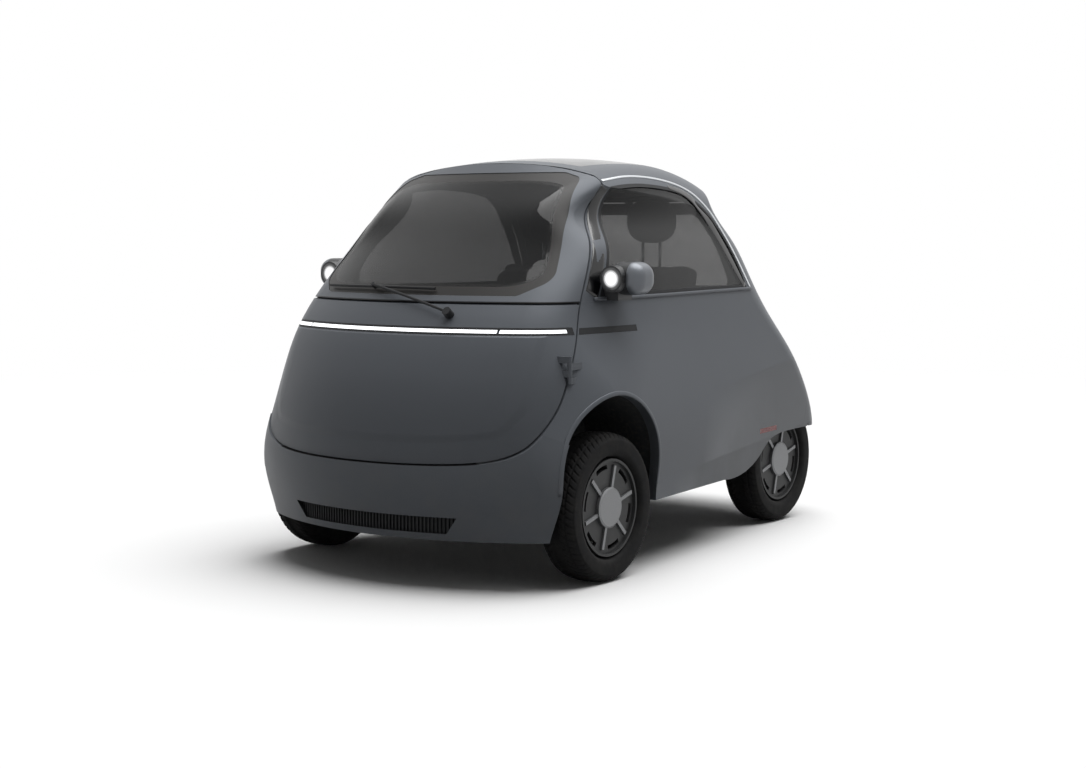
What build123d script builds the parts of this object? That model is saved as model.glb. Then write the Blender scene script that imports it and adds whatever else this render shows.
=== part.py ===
"""Two-seat front-door microcar, millimetres.

Modelling frame: x to the car's left, y runs back from the front axle, z up from the road.
The finished parts are moved by FRAME_Y so that the car's box is centred on the origin.
"""
from build123d import *
from collections import namedtuple
from functools import lru_cache
from math import atan2, cos, degrees, hypot, radians, sin, sqrt, tan
import os

os.makedirs("parts", exist_ok=True)

# ------------------------------------------------------------------ driving dimensions
WHEELBASE = 1535
FRONT_TRACK = 1250            # between the front tyres' middle planes
REAR_TRACK = 934
TYRE_R = 262                  # tyre radius, and so the axle height
TYRE_W = 146
RIM_R = 176                   # outer radius of the rim's lip

WALL = 36                     # door and side walls, measured level
ROOF_T = 32                   # roof, measured upright
SHUT = 6                      # shut gap round the door and the tailgate
SEAM = 0.3                    # gap between pieces that are fastened together
GLASS_T = 6

SILL_Z = 255
BUMPER_Z = 172                # underside of the front bumper
TAIL_Z = 372                  # underside of the tail
BELT_Z = 976                  # lower edge of the side windows
FLOOR_Z = 250                 # underside of the floor
FLOOR_T = 24

ARCH_R = 284
ARCH_Z = 371                  # centre height of the front arches' round top
WELL_X = 404                  # inner wall of the front wheel wells
WELL_T = 10

BAR_Z = 879                   # middle height of the light bar
BAR_H = 26
LED_H = 11
LED_GAP_X = 426

SCREEN = [(0, 996), (430, 996), (519, 1050), (404, 1412), (330, 1433), (0, 1433)]

HINGE_X = 656                 # upright hinge line of the front door
HINGE_Y = -206
HINGE_R = 8
PIN_R = 3.5
PIN_FIT = 0.05

SEAT_HALF = 470
SEAT_Y0 = 380
SEAT_Y1 = 800
SEAT_Z = 500
CUSHION_T = 120

WHEEL_Y = 190                 # steering wheel centre
WHEEL_X = 250
WHEEL_Z = 985
WHEEL_R = 170
WHEEL_TILT = 35               # from upright

REAR_AXLE = WHEELBASE

# ------------------------------------------------------------------ body form
Plan = namedtuple("Plan", "z y_front r_front r_nose half y_wide r_fender lean r_tail r_rear y_rear")
PLANS = [
    Plan(150, -490, 1100, 220, 690, -20, 1500, 5.5, 190, 1600, 1935),
    Plan(300, -528, 1100, 220, 722, -20, 1500, 6.0, 200, 1600, 1974),
    Plan(440, -540, 1100, 290, 736, -20, 1500, 6.2, 205, 1600, 1958),
    Plan(560, -515, 1100, 400, 736, -20, 1500, 6.2, 210, 1500, 1888),
    Plan(700, -470, 1100, 375, 704, 40, 1700, 5.6, 230, 1300, 1785),
    Plan(878, -385, 1150, 230, 642, 230, 2200, 4.6, 280, 1000, 1620),
    Plan(975, -310, 1120, 200, 620, 280, 2200, 4.6, 310, 900, 1550),
    Plan(1171, -125, 1080, 200, 566, 400, 2200, 5.0, 360, 800, 1435),
    Plan(1390, 110, 1050, 200, 514, 560, 2200, 5.5, 400, 700, 1255),
    Plan(1530, 285, 1000, 190, 478, 640, 2200, 5.5, 400, 700, 960),
]

Crown = namedtuple("Crown", "y top half r_shoulder")
CROWNS = [
    Crown(-700, 1310, 525, 170), Crown(0, 1432, 525, 170), Crown(215, 1469, 525, 170),
    Crown(430, 1492, 525, 190), Crown(650, 1501, 522, 225), Crown(900, 1489, 510, 260),
    Crown(1100, 1452, 495, 270), Crown(1250, 1398, 480, 270), Crown(1400, 1310, 465, 260),
    Crown(1600, 1160, 450, 260), Crown(2100, 700, 430, 260),
]
CROWN_R = 2000
CROWN_LEAN = 25               # degrees, sides of the roof form below its shoulders

# door edge seen from the side, from the middle of its foot up over the pillar to the header
DOOR_EDGE = [(-560, 431), (-492, 436), (-410, 459), (-332, 528), (-247, 638), (-188, 745),
             (-112, 866), (-59, 966), (84, 1170), (200, 1318), (262, 1405), (250, 1449), (205, 1476)]

NOSE_Y = -545
TAIL_Y = 1977
FRAME_Y = -(NOSE_Y + TAIL_Y) / 2


def meet(c1, d1, c2, d2):
    """Centre at distance d1 from c1 and d2 from c2, on the outboard side."""
    dx, dy = c2[0] - c1[0], c2[1] - c1[1]
    gap = hypot(dx, dy)
    along = (d1 * d1 - d2 * d2 + gap * gap) / (2 * gap)
    off = sqrt(max(d1 * d1 - along * along, 0))
    ux, uy = dx / gap, dy / gap
    ends = [(c1[0] + along * ux + s * off * uy, c1[1] + along * uy - s * off * ux) for s in (1, -1)]
    return max(ends)


def plan_face(p, inset):
    """One level section: front, nose, fender, side line, tail and rear, with its mirror half."""
    r_front, r_nose, r_fender = p.r_front - inset, p.r_nose - inset, p.r_fender - inset
    r_tail, r_rear = p.r_tail - inset, p.r_rear - inset
    front = (0, p.y_front + p.r_front)
    fender = (p.half - p.r_fender, p.y_wide)
    rear = (0, p.y_rear - p.r_rear)
    nose = meet(front, r_front - r_nose, fender, r_fender - r_nose)
    lean = radians(p.lean)
    run = (-sin(lean), cos(lean))
    inward = (-cos(lean), -sin(lean))
    t0 = (fender[0] + r_fender * cos(lean), fender[1] + r_fender * sin(lean))
    base = (t0[0] + r_tail * inward[0] - rear[0], t0[1] + r_tail * inward[1] - rear[1])
    dot = base[0] * run[0] + base[1] * run[1]
    length = -dot + sqrt(dot * dot - base[0] ** 2 - base[1] ** 2 + (r_rear - r_tail) ** 2)
    t1 = (t0[0] + length * run[0], t0[1] + length * run[1])
    tail = (t1[0] + r_tail * inward[0], t1[1] + r_tail * inward[1])

    a_front = atan2(nose[1] - front[1], nose[0] - front[0])
    a_fender = atan2(nose[1] - fender[1], nose[0] - fender[0])
    a_tail = atan2(tail[1] - rear[1], tail[0] - rear[0])

    def on(c, r, a):
        return (c[0] + r * cos(a), c[1] + r * sin(a))

    f1 = on(nose, r_nose, a_front)
    f2 = on(nose, r_nose, a_fender)
    e = on(tail, r_tail, a_tail)
    half = [
        ("arc", f1, on(nose, r_nose, (a_front + a_fender) / 2), f2),
        ("arc", f2, on(fender, r_fender, (a_fender + lean) / 2), t0),
        ("line", t0, t1),
        ("arc", t1, on(tail, r_tail, (lean + a_tail) / 2), e),
    ]

    def edge(spec, side):
        pts = [(side * q[0], q[1], p.z) for q in spec[1:]]
        return Edge.make_line(*pts) if spec[0] == "line" else Edge.make_three_point_arc(*pts)

    edges = [Edge.make_three_point_arc((-f1[0], f1[1], p.z), (0, front[1] - r_front, p.z),
                                       (f1[0], f1[1], p.z))]
    edges += [edge(s, 1) for s in half]
    edges += [Edge.make_three_point_arc((e[0], e[1], p.z), (0, rear[1] + r_rear, p.z),
                                        (-e[0], e[1], p.z))]
    edges += [edge(s, -1) for s in reversed(half)]
    return Wire(edges)


def crown_face(c, drop):
    """One upright section of the roof form: flat crown, round shoulders, leaning sides."""
    top, half = c.top - drop, c.half - drop
    r_crown, r_side = CROWN_R - drop, c.r_shoulder
    sx = half - r_side
    sz = top - r_crown + sqrt((r_crown - r_side) ** 2 - sx ** 2)
    a0 = atan2(sz - (top - r_crown), sx)
    a1 = radians(CROWN_LEAN)
    am = (a0 + a1) / 2

    def on(a):
        return (sx + r_side * cos(a), sz + r_side * sin(a))

    s0, sm, s1 = on(a0), on(am), on(a1)
    foot_z = 100
    foot = (s1[0] + (s1[1] - foot_z) * tan(a1), foot_z)

    def v(q, side=1):
        return (side * q[0], c.y, q[1])

    return Wire([
        Edge.make_three_point_arc(v(s0, -1), (0, c.y, top), v(s0)),
        Edge.make_three_point_arc(v(s0), v(sm), v(s1)),
        Edge.make_line(v(s1), v(foot)),
        Edge.make_line(v(foot), v(foot, -1)),
        Edge.make_line(v(foot, -1), v(s1, -1)),
        Edge.make_three_point_arc(v(s1, -1), v(sm, -1), v(s0, -1)),
    ])


@lru_cache(maxsize=None)
def hull(inset, drop=None):
    """The whole body form, each wall moved in by inset and the roof down by drop."""
    drop = inset if drop is None else drop
    level = Solid.make_loft([plan_face(p, inset) for p in PLANS])
    upright = Solid.make_loft([crown_face(c, drop) for c in CROWNS])
    return Part() + level & (Part() + upright)


def side_block(points, x0=-900, x1=900, curve=None):
    """A block whose outline is seen from the side, points as (y, z)."""
    pts = [(0, y, z) for y, z in points]
    if curve:
        spline = Edge.make_spline([Vector(0, y, z) for y, z in curve])
        ends = [Vector(0, *curve[-1])] + [Vector(*q) for q in pts] + [Vector(0, *curve[0])]
        edges = [spline] + [Edge.make_line(a, b) for a, b in zip(ends, ends[1:])]
    else:
        edges = [Edge.make_line(a, b) for a, b in zip(pts, pts[1:] + pts[:1])]
    face = Face(Wire(edges))
    return Pos(x0, 0, 0) * extrude(face, amount=x1 - x0, dir=(1, 0, 0))


def box(x0, x1, y0, y1, z0, z1):
    return Pos((x0 + x1) / 2, (y0 + y1) / 2, (z0 + z1) / 2) * Box(x1 - x0, y1 - y0, z1 - z0)


def both(shape):
    return shape + mirror(shape, about=Plane.YZ)


def shifted(points, d):
    """The points of an open outline, each moved by d to the left of its way."""
    out = []
    for i, q in enumerate(points):
        a, b = points[max(i - 1, 0)], points[min(i + 1, len(points) - 1)]
        dx, dy = b[0] - a[0], b[1] - a[1]
        n = hypot(dx, dy)
        out.append((q[0] - d * dy / n, q[1] + d * dx / n))
    return out


def slab(z0, z1):
    return box(-900, 900, -900, 2300, z0, z1)


def front_block(points, grow=0.0, fillet_r=0.0, y0=-900, y1=400):
    """A mirrored block whose outline is seen from the front, right half given as (x, z)."""
    ring = list(points) + [(-x, z) for x, z in reversed(points) if x > 0]
    face = Face(Wire([Edge.make_line((a[0], 0, a[1]), (b[0], 0, b[1]))
                      for a, b in zip(ring, ring[1:] + ring[:1])]))
    if fillet_r:
        corners = [v for v in face.vertices() if abs(v.X) > 1]
        face = face.fillet_2d(fillet_r, corners)
    if grow:
        face = offset(face, amount=grow, kind=Kind.INTERSECTION)
    return Pos(0, y0, 0) * extrude(face, amount=y1 - y0, dir=(0, 1, 0))


def rod(a, b, r):
    """A round bar from a to b."""
    a, b = Vector(*a), Vector(*b)
    return Plane(origin=a, z_dir=b - a) * Pos(0, 0, (b - a).length / 2) * Cylinder(r, (b - a).length)


def ring_about_x(profile):
    """Turn a closed (x, r) profile about the X axis."""
    pts = [(x, r, 0) for x, r in profile]
    face = Face(Wire([Edge.make_line(a, b) for a, b in zip(pts, pts[1:] + pts[:1])]))
    return revolve(face, axis=Axis.X)


parts = {}

# ------------------------------------------------------------------ zones of the shell
outer = hull(0)
inner = hull(WALL, ROOF_T)
shell = outer - inner


def door_zone(d):
    """Everything ahead of the door edge, grown by d."""
    return side_block([(150, 1560), (-900, 1560), (-900, DOOR_EDGE[0][1] - d)],
                      curve=shifted(DOOR_EDGE, -d))


door_in, door_out = door_zone(-SHUT / 2), door_zone(SHUT / 2)

# fender split from the door's corner down to the arch, and the bumper under it
SPLIT = [(-326, 545), (-240, 497)]
BUMPER_OUT = 4


def bumper_zone(d):
    return side_block([(-900, BUMPER_Z), (-240 + d, BUMPER_Z), (SPLIT[1][0] + d, SPLIT[1][1] + d),
                       (SPLIT[0][0], SPLIT[0][1] + d), (SPLIT[0][0], 700), (-900, 700)])


# lower edge of the sides: sill, then up over the rear wheel to the tail
TAIL_EDGE = [(880, SILL_Z), (1042, 256), (1135, 276), (1226, 314), (1296, 358), (1400, 384),
             (1560, 388), (1800, 384), (2050, TAIL_Z)]
under = side_block([(2300, TAIL_Z), (2300, 0), (-900, 0), (-900, BUMPER_Z), (-240, BUMPER_Z),
                    (-200, SILL_Z)], curve=list(TAIL_EDGE))


def arch(grow, x0):
    """Front wheel arch: round top over straight sides, open outward from x0."""
    r = ARCH_R + grow
    y = -4
    round_top = Pos(x0 + 300, y, ARCH_Z) * Rot(0, 90, 0) * Cylinder(r, 600)
    return both(round_top + box(x0, x0 + 600, y - r, y + r, 0, ARCH_Z))


front_arches = arch(0, WELL_X)
tyre_shape = [(-TYRE_W / 2, 0), (-TYRE_W / 2, TYRE_R - 30), (-TYRE_W / 2 + 28, TYRE_R),
              (TYRE_W / 2 - 28, TYRE_R), (TYRE_W / 2, TYRE_R - 30), (TYRE_W / 2, 0)]
REAR_ROOM = 12
rear_room = ring_about_x([(x + REAR_ROOM * (1 if x > 0 else -1), r and r + REAR_ROOM)
                          for x, r in tyre_shape])
rear_arches = both(Pos(REAR_TRACK / 2, REAR_AXLE, TYRE_R) * rear_room)

# side windows: the outline of the opening in the upper body
WINDOW_FOOT_Z = BELT_Z + 16
WINDOW_TOP = [(296, 1380), (450, 1393), (640, 1390), (922, 1331), (1110, 1162), (1194, WINDOW_FOOT_Z)]
WINDOW_FRONT_Y = 52
STRIP_W = 13


def window_zone(d):
    """Side window opening shrunk by d."""
    run = (WINDOW_TOP[0][0] - WINDOW_FRONT_Y) / (WINDOW_TOP[0][1] - WINDOW_FOOT_Z)
    side = d * hypot(1, run)
    top = shifted(WINDOW_TOP, -d)
    top[0] = (WINDOW_TOP[0][0] + side - d * run, WINDOW_TOP[0][1] - d)
    top[-1] = (top[-1][0], WINDOW_FOOT_Z + d)
    return side_block([(WINDOW_FRONT_Y + side + d * run, WINDOW_FOOT_Z + d)], curve=top)


side_openings = window_zone(0) - box(-300, 300, -900, 2300, 900, 1500)

HATCH_HALF = 400
HATCH_Z0, HATCH_Z1 = 705, 1335
HATCH_Y0 = 1160               # front ends of the hatch where it wraps onto the roof
REAR_BUMPER_HALF = 558
REAR_SEAM_Z = 686


def hatch_zone(d):
    outline = [(0, HATCH_Z0), (HATCH_HALF, HATCH_Z0), (HATCH_HALF, HATCH_Z1), (0, HATCH_Z1)]
    return front_block(outline, grow=d, fillet_r=45, y0=HATCH_Y0 - d, y1=2300)


hatch_in, hatch_out = hatch_zone(-SHUT / 2), hatch_zone(SHUT / 2)
rear_bumper_zone = box(-REAR_BUMPER_HALF, REAR_BUMPER_HALF, 1400, 2300, 0, REAR_SEAM_Z)
rear_cut = box(-REAR_BUMPER_HALF - SEAM, REAR_BUMPER_HALF + SEAM, 1400, 2300, 0, REAR_SEAM_Z + SEAM)


@lru_cache(maxsize=None)
def layer(depth0, depth1):
    """The layer of the body form between two depths under its outer face."""
    return hull(depth0) - hull(depth1)


PROUD = 10                    # how far a cutting layer stands out of the body
LENS = 3                      # depth of flush lenses and glass seats
POCKET = LENS + GLASS_T       # depth of shallow pockets
BAR_DEEP = 16

# ------------------------------------------------------------------ light bar and side plates
def across(half_h, end_y, d=0.0):
    return box(-900, 900, -900, end_y + d, BAR_Z - half_h - d, BAR_Z + half_h + d)


BAR_END_Y = -122              # rear ends of the light bar, just ahead of the door's edge
LED_END_Y = -150
bar_room = layer(-PROUD, BAR_DEEP) & across(BAR_H / 2, BAR_END_Y, SEAM)
led_room = layer(-PROUD, POCKET) & across(LED_H / 2, LED_END_Y, SEAM)
parts["light_bar"] = (layer(0, POCKET) & across(BAR_H / 2, BAR_END_Y)) - led_room
gaps = both(box(LED_GAP_X - 5, LED_GAP_X + 5, -900, 0, BAR_Z - 20, BAR_Z + 20))
parts["light_strip"] = (layer(0, LENS) & across(LED_H / 2, LED_END_Y)) - gaps

PLATE_END_Y = 232
PLATE_H = 22


def plate_zone(d):
    block = box(400, 900, -120, PLATE_END_Y + d, BAR_Z - BAR_H / 2 - d,
                BAR_Z - BAR_H / 2 + PLATE_H + d)
    return block - door_zone(SHUT / 2 + 5 - d)


parts["side_plates"] = both(layer(0, LENS) & plate_zone(0))
plate_room = both(layer(-PROUD, POCKET) & plate_zone(SEAM))

# ------------------------------------------------------------------ front door and its glass
screen_open = front_block(SCREEN, fillet_r=42)
screen_cut = front_block(SCREEN, grow=-SEAM, fillet_r=42)
groove = layer(-PROUD, POCKET) & box(-900, 900, -900, 1100, BELT_Z - 9, BELT_Z - 2)
parts["front_door"] = (shell & door_in) - screen_open - bar_room - groove
parts["windscreen"] = layer(LENS, POCKET) & (screen_cut & door_in)

# ------------------------------------------------------------------ body panels
body = shell - door_out - under - front_arches - rear_arches
fender_cut = bumper_zone(SEAM)
lower = (body & slab(0, BELT_Z - SEAM)) - fender_cut - rear_cut - hatch_out
REFLECTOR = [(1208, 403), (1382, 403), (1382, 423), (1208, 423)]


def reflector_zone(d):
    (y0, z0), (y1, z1) = REFLECTOR[0], REFLECTOR[2]
    return box(400, 900, y0 - d, y1 + d, z0 - d, z1 + d)


parts["rear_reflectors"] = both(layer(0, LENS) & reflector_zone(0))
reflector_room = both(layer(-PROUD, POCKET) & reflector_zone(SEAM))
sides = lower - reflector_room - plate_room
parts["body_side_left"] = sides & box(SEAM / 2, 900, -900, 2300, 0, 1600)
parts["body_side_right"] = sides & box(-900, -SEAM / 2, -900, 2300, 0, 1600)

ROOF_HATCH = (330, 330, 760)


def roof_zone(d):
    half, y0, y1 = ROOF_HATCH
    return box(-half - d, half + d, y0 - d, y1 + d, 1400, 1600)


upper = body & slab(BELT_Z, 1600)
parts["sunroof"] = layer(0, POCKET) & roof_zone(0)
sunroof_room = layer(-PROUD, BAR_DEEP) & roof_zone(SEAM)
parts["roof_panel"] = upper - side_openings - hatch_out - sunroof_room

bumper_skin = (hull(-BUMPER_OUT) & bumper_zone(0)) - hull(WALL, ROOF_T)
GRILLE = [(0, 196), (322, 196), (366, 254), (0, 254)]


def grille_zone(d):
    return front_block(GRILLE, grow=d, y0=-900, y1=-300)


parts["front_bumper"] = bumper_skin - door_out - front_arches - under - grille_zone(0)
GRILLE_DEEP = 9               # ribs sit this far behind the bumper's face
GRILLE_T = 8
RIB_PITCH, RIB_W = 14, 5
GRILLE_R = 1100
GRILLE_FACE_Y = -507          # bumper face at the middle of the grille


def arc_band(depth, thick):
    """An upright curved plate behind the bumper's face."""
    disc = Pos(0, GRILLE_FACE_Y + GRILLE_R, 225)
    ring = disc * Cylinder(GRILLE_R - depth, 100) - disc * Cylinder(GRILLE_R - depth - thick, 120)
    return ring & grille_zone(-SEAM)


def rib(x):
    y = GRILLE_FACE_Y + GRILLE_R - sqrt((GRILLE_R - GRILLE_DEEP) ** 2 - x * x)
    return Pos(x, y + GRILLE_T / 2 + 1, 225) * Box(RIB_W, GRILLE_T, 70)


ribs = Part() + [rib(x) for x in range(-364, 365, RIB_PITCH)]
parts["grille"] = (ribs & grille_zone(-SEAM)) + arc_band(GRILLE_DEEP + GRILLE_T, 4)

middle = box(-300, 300, -900, 2300, 900, 1500)
side_glass = (layer(LENS, POCKET) & window_zone(STRIP_W)) - middle
parts["side_glass_left"] = side_glass & box(300, 900, -900, 2300, 900, 1600)
parts["side_glass_right"] = side_glass & box(-900, -300, -900, 2300, 900, 1600)
strip_zone = window_zone(SEAM) - window_zone(STRIP_W - SEAM) - middle
parts["window_frames"] = shell & strip_zone

parts["rear_bumper"] = (shell & rear_bumper_zone) - under - hatch_out - rear_arches
REAR_SCREEN = [(0, 985), (335, 985), (300, 1285), (0, 1285)]


def rear_screen(d):
    return front_block(REAR_SCREEN, grow=d, fillet_r=40, y0=1000, y1=2300)


parts["rear_glass"] = layer(LENS, POCKET) & rear_screen(-SEAM)
REAR_BAR_Z = 800
REAR_BAR_HALF = 370


def rear_bar_zone(d):
    half, h = REAR_BAR_HALF + d, BAR_H / 2 + d
    return box(-half, half, 1300, 2300, REAR_BAR_Z - h, REAR_BAR_Z + h)


parts["rear_light_bar"] = layer(0, POCKET) & rear_bar_zone(0)
rear_bar_room = layer(-PROUD, BAR_DEEP) & rear_bar_zone(SEAM)
parts["rear_hatch"] = (shell & hatch_in) - rear_screen(0) - rear_bar_room

# ------------------------------------------------------------------ mirror pods with headlamps
LAMP = (654, 46, 1054)        # middle of the lamp's face
LAMP_R = 39
BEZEL_R = 46
POD_END_Y = 205
POD_HALF_H = 58
POD_OUT_X = 752
POD_IN_X = 612
POD_Y = 125


def pod():
    block = fillet(box(POD_IN_X, POD_OUT_X, LAMP[1] + 24, POD_END_Y,
                       LAMP[2] - POD_HALF_H, LAMP[2] + POD_HALF_H).edges(), 50)
    nose = Pos(LAMP[0], LAMP[1] + 40, LAMP[2]) * Rot(90, 0, 0) * Cylinder(BEZEL_R, 80)
    neck = box(POD_IN_X - 30, POD_IN_X + 50, POD_Y - 45, POD_Y + 45, BELT_Z + 2, LAMP[2] - 30)
    lamp_room = Pos(LAMP[0], LAMP[1] + 7, LAMP[2]) * Rot(90, 0, 0) * Cylinder(LAMP_R + SEAM, 14 + 0.6)
    return (block + nose + neck) - hull(-SEAM) - lamp_room


def lamp():
    return Pos(LAMP[0], LAMP[1] + 7, LAMP[2]) * Rot(90, 0, 0) * Cylinder(LAMP_R, 14)


parts["mirror_pod_left"] = pod()
parts["mirror_pod_right"] = mirror(pod(), about=Plane.YZ)
parts["headlamp_left"] = lamp()
parts["headlamp_right"] = mirror(lamp(), about=Plane.YZ)

# ------------------------------------------------------------------ door hinges
DoorHinge = namedtuple("DoorHinge", "z fixed_to_y lug_in_x")
DOOR_HINGES = [DoorHinge(705, -168, 620), DoorHinge(752, -140, 596)]
LEAF_H = 23
LEAF_GAP = 0.5

fixed, moving = Part(), Part()
for h in DOOR_HINGES:
    low = Pos(HINGE_X, HINGE_Y, h.z + LEAF_H / 2)
    high = Pos(HINGE_X, HINGE_Y, h.z + LEAF_H * 1.5 + LEAF_GAP)
    fixed += low * Cylinder(HINGE_R, LEAF_H)
    fixed += box(HINGE_X - 4, HINGE_X + 5, HINGE_Y, h.fixed_to_y, h.z, h.z + LEAF_H)
    fixed += Pos(HINGE_X, HINGE_Y, h.z + LEAF_H + 8) * Cylinder(PIN_R, 20)
    bore = high * Cylinder(PIN_R + PIN_FIT, LEAF_H + 10)
    top = h.z + LEAF_H + LEAF_GAP
    moving += high * Cylinder(HINGE_R, LEAF_H) - bore
    moving += box(h.lug_in_x, HINGE_X - 1, HINGE_Y - HINGE_R, HINGE_Y + 2, top, top + LEAF_H) - bore
parts["hinges_fixed"] = fixed - hull(-SEAM)
parts["hinges_moving"] = moving - hull(-SEAM)

HATCH_AXIS = (1284.2, 1347.3)     # y and z of the tailgate's hinge line
HATCH_SLOPE = 58              # degrees, fall of the roof there
HATCH_HINGE_XS = (-90, 90)
HATCH_LEAF = 34
lid_fixed, lid_moving = Part(), Part()
lug = Rot(-HATCH_SLOPE, 0, 0)
for x in HATCH_HINGE_XS:
    y, z = HATCH_AXIS
    half = HATCH_LEAF / 2 + LEAF_GAP / 2
    turn = Rot(0, 90, 0)
    lid_fixed += Pos(x - half, y, z) * turn * Cylinder(HINGE_R - 1, HATCH_LEAF)
    lid_fixed += Pos(x - half, y, z) * lug * Pos(0, -17, -10) * Box(HATCH_LEAF, 34, 18)
    lid_fixed += Pos(x + 4, y, z) * turn * Cylinder(PIN_R, 2 * HATCH_LEAF - 18)
    bore = Pos(x + half, y, z) * turn * Cylinder(PIN_R + PIN_FIT, HATCH_LEAF + 8)
    lid_moving += Pos(x + half, y, z) * turn * Cylinder(HINGE_R - 1, HATCH_LEAF) - bore
    lid_moving += Pos(x + half, y, z) * lug * Pos(0, 17, -10) * Box(HATCH_LEAF, 34, 18) - bore
parts["hatch_hinges_fixed"] = lid_fixed - hull(-SEAM)
parts["hatch_hinges_moving"] = lid_moving - hull(-SEAM)

# ------------------------------------------------------------------ wiper
WIPER_PIVOT = (234, -322, 931)
ARM_MID = (42, -305, 980)
ARM_TIP = (-150, -262, 1017)
BLADE = [(-430, -188, 1015), (-150, -263, 1017), (130, -267, 1015)]
WIPER_OUT = 20


def off(p, d=WIPER_OUT):
    """A point lifted off the door's face along its forward slope."""
    return Vector(p[0], p[1] - d * 0.8, p[2] + d * 0.6)


def bow(a, m, b, r):
    """A round bar along an arc."""
    path = Edge.make_three_point_arc(a, m, b)
    return sweep(Plane(origin=path @ 0, z_dir=path % 0) * Circle(r), path=path)


arm = bow(off(WIPER_PIVOT), off(ARM_MID), off(ARM_TIP), 5)
boss = rod(off(WIPER_PIVOT, -6), off(WIPER_PIVOT, WIPER_OUT + 8), 16)
blade = bow(*[off(p, 8) for p in BLADE], 5) + rod(off(ARM_TIP, 3), off(ARM_TIP, WIPER_OUT + 5), 8)
parts["wiper"] = (arm + boss + blade) - hull(-SEAM)

# ------------------------------------------------------------------ floor, wells, deck
FLOOR_Y0, FLOOR_Y1 = -430, 1180
DECK_Z = 560
DECK_T = 12
DECK_END_Y = 1740
BEAM_Z = TYRE_R - 122         # underside of the front cross beam
inside = hull(WALL + SEAM)
pan = box(-900, 900, FLOOR_Y0, FLOOR_Y1, FLOOR_Z, FLOOR_Z + FLOOR_T)
well = (arch(WELL_T + 8, WELL_X - WELL_T) - arch(8, WELL_X)) & slab(FLOOR_Z, 1000)
bulkhead = box(-900, 900, FLOOR_Y1 - DECK_T, FLOOR_Y1, FLOOR_Z, DECK_Z + DECK_T)
deck = box(-900, 900, FLOOR_Y1 - DECK_T, DECK_END_Y, DECK_Z, DECK_Z + DECK_T)
cross_beam = box(-WELL_X, WELL_X, -70, 70, BEAM_Z, FLOOR_Z)
floor = ((pan + bulkhead + deck) - arch(8, WELL_X)) + well
parts["floor_pan"] = (floor & inside) + cross_beam

# ------------------------------------------------------------------ battery, motor and rear axle
BATTERY_H = 190
parts["battery"] = box(-SEAT_HALF + 60, SEAT_HALF - 60, SEAT_Y0 + 20, SEAT_Y1 - 20,
                       FLOOR_Z + FLOOR_T, FLOOR_Z + FLOOR_T + BATTERY_H)
MOTOR_R = 95
AXLE_R = 12.5
BEARING_FIT = 0.05
HUB_IN = 5                    # from a wheel's middle plane to the inner end of its hub
arm_x = REAR_TRACK / 2 - TYRE_W / 2 - 50
motor = (rod((-150, REAR_AXLE, TYRE_R + 20), (150, REAR_AXLE, TYRE_R + 20), MOTOR_R)
         + box(-60, 60, REAR_AXLE - 60, REAR_AXLE + 60, TYRE_R + 60, DECK_Z))
parts["motor"] = motor
beam = rod((-arm_x - 14, REAR_AXLE, TYRE_R), (arm_x + 14, REAR_AXLE, TYRE_R), 28) - motor
stub_end = REAR_TRACK / 2 + 30
beam += both(rod((arm_x, REAR_AXLE, TYRE_R), (stub_end, REAR_AXLE, TYRE_R), AXLE_R))
beam += both(box(arm_x - 22, arm_x + 10, FLOOR_Y1, REAR_AXLE, TYRE_R - 26, TYRE_R + 26))
parts["rear_axle"] = beam - motor

# ------------------------------------------------------------------ front suspension
KING_X = 600
KING_R = 8
BALL_Z0, BALL_Z1 = TYRE_R - 112, TYRE_R + 112
STUB_END = FRONT_TRACK / 2 + 30


def knuckle():
    post = box(KING_X - 16, KING_X + 16, -20, 20, BALL_Z0 + 12, BALL_Z1 - 12)
    stub = rod((KING_X, 0, TYRE_R), (STUB_END, 0, TYRE_R), AXLE_R)
    bore = Pos(KING_X, 0, TYRE_R) * Cylinder(KING_R + PIN_FIT, 400)
    return post - bore + (stub - bore)


def arms():
    body_part = Part()
    for z, thick in ((BALL_Z0, 20), (BALL_Z1, 20)):
        plate = box(WELL_X, KING_X, -18, 18, z - thick / 2, z + thick / 2)
        plate += box(WELL_X, WELL_X + 40, -70, 70, z - thick / 2, z + thick / 2)
        plate += Pos(KING_X, 0, z) * Cylinder(18, thick)
        inward = 1 if z < TYRE_R else -1
        plate += Pos(KING_X, 0, z + inward * 22) * Cylinder(KING_R, 44)
        body_part += plate
    return body_part


parts["knuckle_left"] = knuckle()
parts["knuckle_right"] = mirror(knuckle(), about=Plane.YZ)
parts["front_arms_left"] = arms()
parts["front_arms_right"] = mirror(arms(), about=Plane.YZ)

# ------------------------------------------------------------------ wheels
BEAD_R = 172
TYRE = [(-58, BEAD_R), (-70, 196), (-73, 216), (-66, 242), (-52, 257), (0, TYRE_R),
        (52, 257), (66, 242), (73, 216), (70, 196), (58, BEAD_R)]
HUB_R = 71.5
SPOKES = 6


def tyre():
    return ring_about_x(TYRE)


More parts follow.
